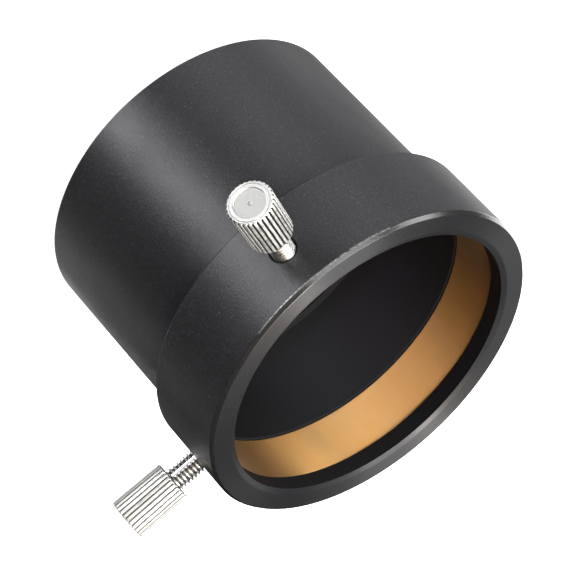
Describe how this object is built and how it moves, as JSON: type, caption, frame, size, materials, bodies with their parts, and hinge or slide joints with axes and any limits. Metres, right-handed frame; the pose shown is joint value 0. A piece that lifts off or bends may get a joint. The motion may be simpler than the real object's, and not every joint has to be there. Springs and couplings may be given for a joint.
{
  "type": "barlow lens",
  "caption": "Short tube holding a negative lens cell at its rear; fluted thumbscrews on its stepped collar close a split brass ring on an eyepiece barrel.",
  "frame": {"origin": "centre of the rear face, on the optical axis, at the mouth of the rear thread", "axes": "+Z along the optical axis towards the eyepiece mouth, +X through thumbscrew A, +Y through thumbscrew B"},
  "size_m": [0.075, 0.0744, 0.049],
  "materials": {
    "black_anodised": "satin bead-blasted black anodising",
    "black_anodised_inner": "matt black anodising",
    "brass": "satin, turned",
    "nickel_plate": "bright nickel plate",
    "nickel_thread": "nickel plate on a cut thread",
    "coated_glass": "polished, green-violet antireflection coating",
    "black_rubber": "matt"
  },
  "bodies": {
    "housing": {"barrel_tube": "black_anodised", "eyepiece_collar": "black_anodised", "lens_cell": "black_anodised_inner", "lens_cushion_ring": "black_rubber", "crown_element": "coated_glass", "lens_spacer": "black_anodised_inner", "flint_element": "coated_glass", "lens_retaining_ring": "black_anodised_inner"},
    "ring": {"compression_ring": "brass"},
    "stud_a": {"thumbscrew_a_stud": "nickel_thread"},
    "knob_a": {"thumbscrew_a_knob": "nickel_plate"},
    "stud_b": {"thumbscrew_b_stud": "nickel_thread"},
    "knob_b": {"thumbscrew_b_knob": "nickel_plate"}
  },
  "joints": [
    {"name": "ring_squeeze", "type": "slide", "parent": "housing", "child": "ring", "axis": [-0.7071, -0.7071, 0], "range_m": [0, 0.0003], "stiffness_N_per_m": 2000},
    {"name": "screw_a_travel", "type": "slide", "parent": "housing", "child": "stud_a", "axis": [1, 0, 0], "range_m": [-0.00078, 0.00194]},
    {"name": "screw_a_turn", "type": "hinge", "parent": "stud_a", "child": "knob_a", "pos_m": [0.03545, 0, 0.04125], "axis": [1, 0, 0], "range_deg": [-400, 1000]},
    {"name": "screw_b_travel", "type": "slide", "parent": "housing", "child": "stud_b", "axis": [0, 1, 0], "range_m": [-0.00028, 0.00243]},
    {"name": "screw_b_turn", "type": "hinge", "parent": "stud_b", "child": "knob_b", "pos_m": [0, 0.03495, 0.04125], "axis": [0, 1, 0], "range_deg": [-145, 1250]}
  ],
  "couplings": [
    {"joint": "screw_a_turn", "follows": "screw_a_travel", "rad_per_m": 8976},
    {"joint": "screw_b_turn", "follows": "screw_b_travel", "rad_per_m": 8976}
  ]
}
